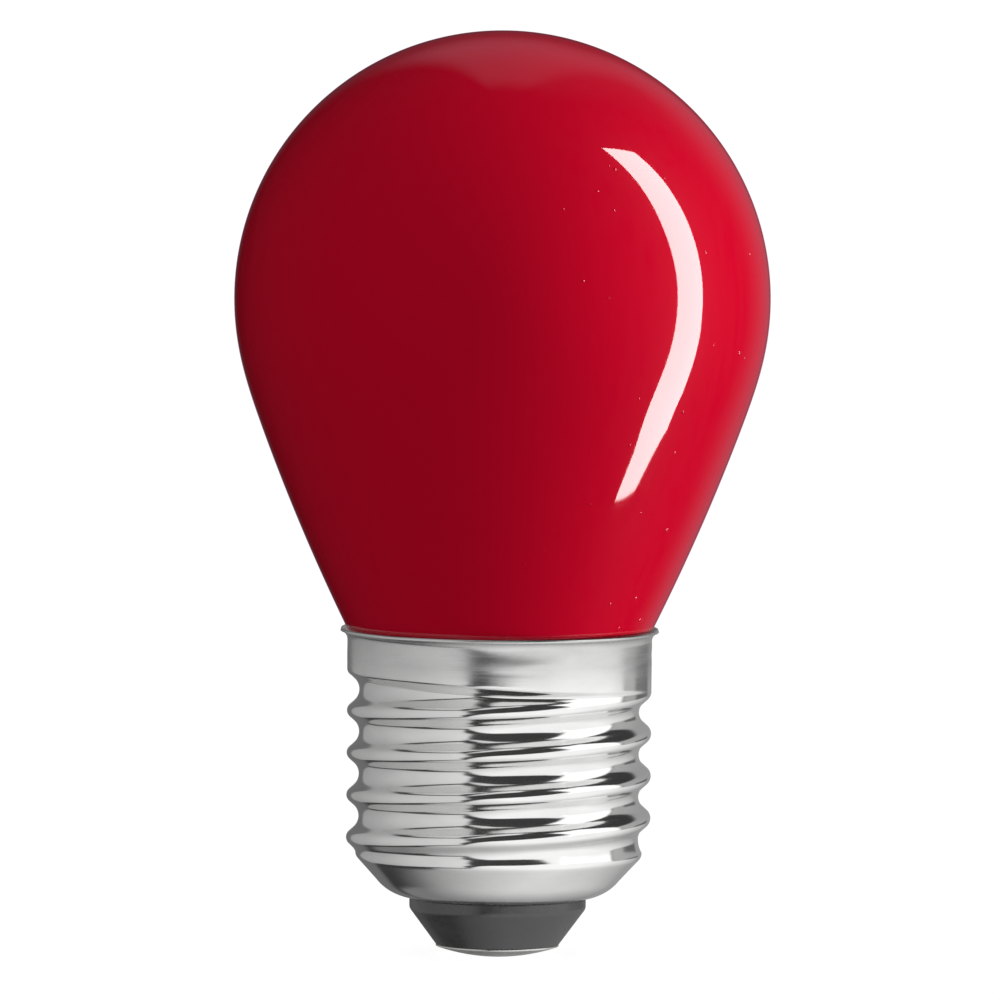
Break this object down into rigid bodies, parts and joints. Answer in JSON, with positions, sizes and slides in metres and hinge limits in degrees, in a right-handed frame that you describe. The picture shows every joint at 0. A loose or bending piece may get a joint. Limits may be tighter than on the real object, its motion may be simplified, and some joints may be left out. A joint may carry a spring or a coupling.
{
  "type": "led globe bulb",
  "caption": "Small globe lamp of opaque red lacquered glass on a plated screw cap with a rolled thread, a black insulator and a domed centre contact.",
  "frame": {"origin": "centre of the centre contact's flat land, the lowest point of the lamp", "axes": "+Z along the lamp's axis from the contact to the globe; +X and +Y square to it, the pictured side faces -Y"},
  "size_m": [0.046, 0.046, 0.0793],
  "materials": {
    "red_lacquered_glass": "glossy opaque lacquer",
    "plated_cap": "nickel plated, satin skirt and polished thread",
    "black_insulator": "semi gloss",
    "contact_metal": "dull nickel plate"
  },
  "bodies": {
    "root": {"glass_globe": "red_lacquered_glass", "screw_cap": "plated_cap", "cap_insulator": "black_insulator", "centre_contact": "contact_metal"}
  },
  "joints": []
}
